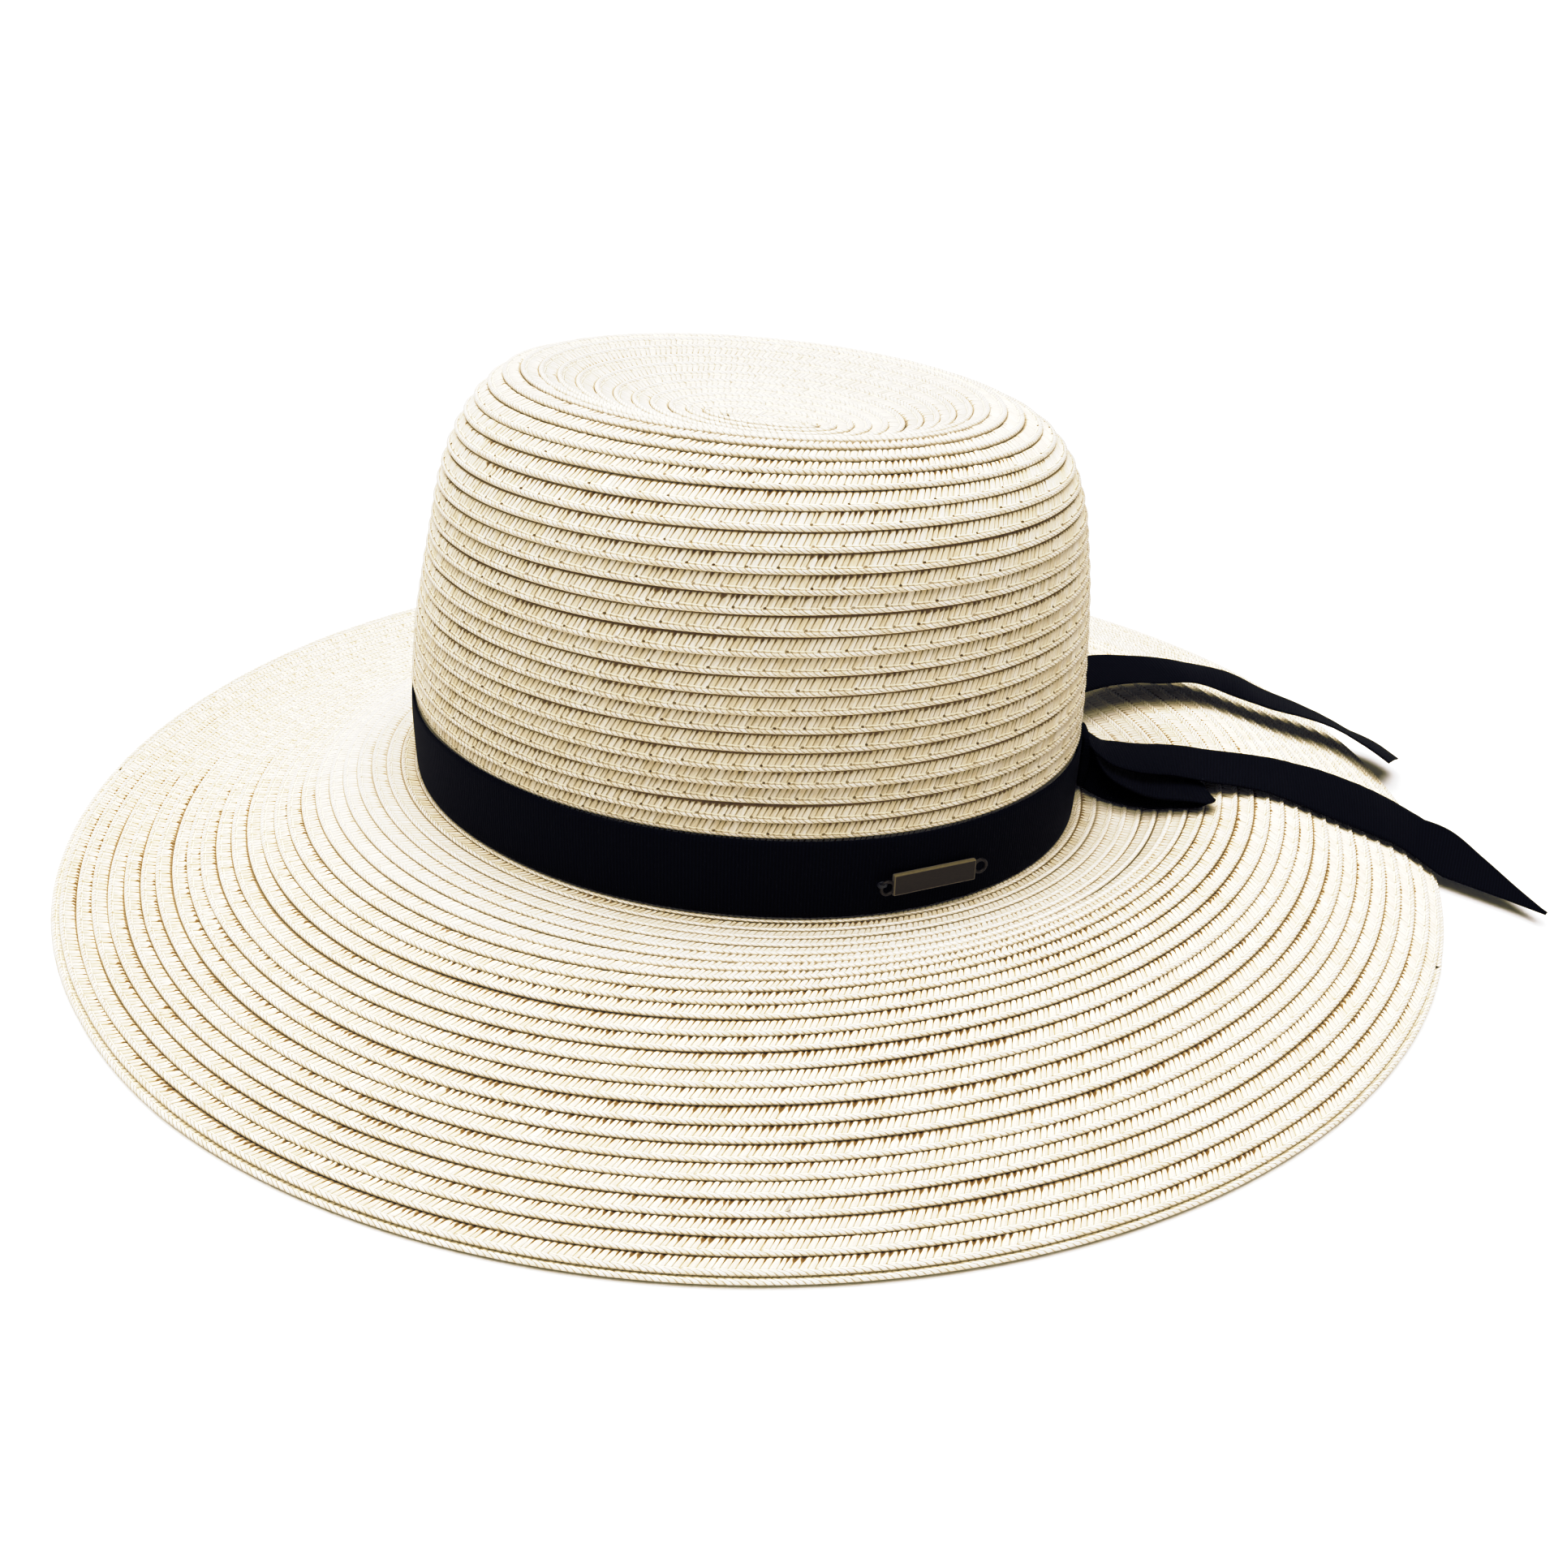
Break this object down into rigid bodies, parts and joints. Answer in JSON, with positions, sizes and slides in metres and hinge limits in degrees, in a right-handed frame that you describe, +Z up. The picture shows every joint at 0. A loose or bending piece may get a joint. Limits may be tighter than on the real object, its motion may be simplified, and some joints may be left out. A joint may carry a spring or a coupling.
{
  "type": "straw hat",
  "caption": "Wide-brimmed straw sun hat of sewn braid, with a dished oval crown, a black ribbon band with a bow and loose tails, and a small metal plate.",
  "frame": {"origin": "on the surface the hat rests on, under the middle of the whole hat with its bow tails", "axes": "+Z up from the surface through the crown; +X towards the side that carries the bow; +Y away from the side with the plate"},
  "size_m": [0.4239, 0.3862, 0.1351],
  "materials": {
    "straw": "matt pale straw braid",
    "ribbon": "matt black ribbed ribbon",
    "plate_metal": "satin dark gunmetal"
  },
  "bodies": {
    "root": {"crown": "straw", "brim": "straw", "hatband": "ribbon", "bow_knot": "ribbon", "bow_loop": "ribbon", "bow_tail_near": "ribbon", "bow_tail_far": "ribbon", "tag_plate": "plate_metal"}
  },
  "joints": []
}
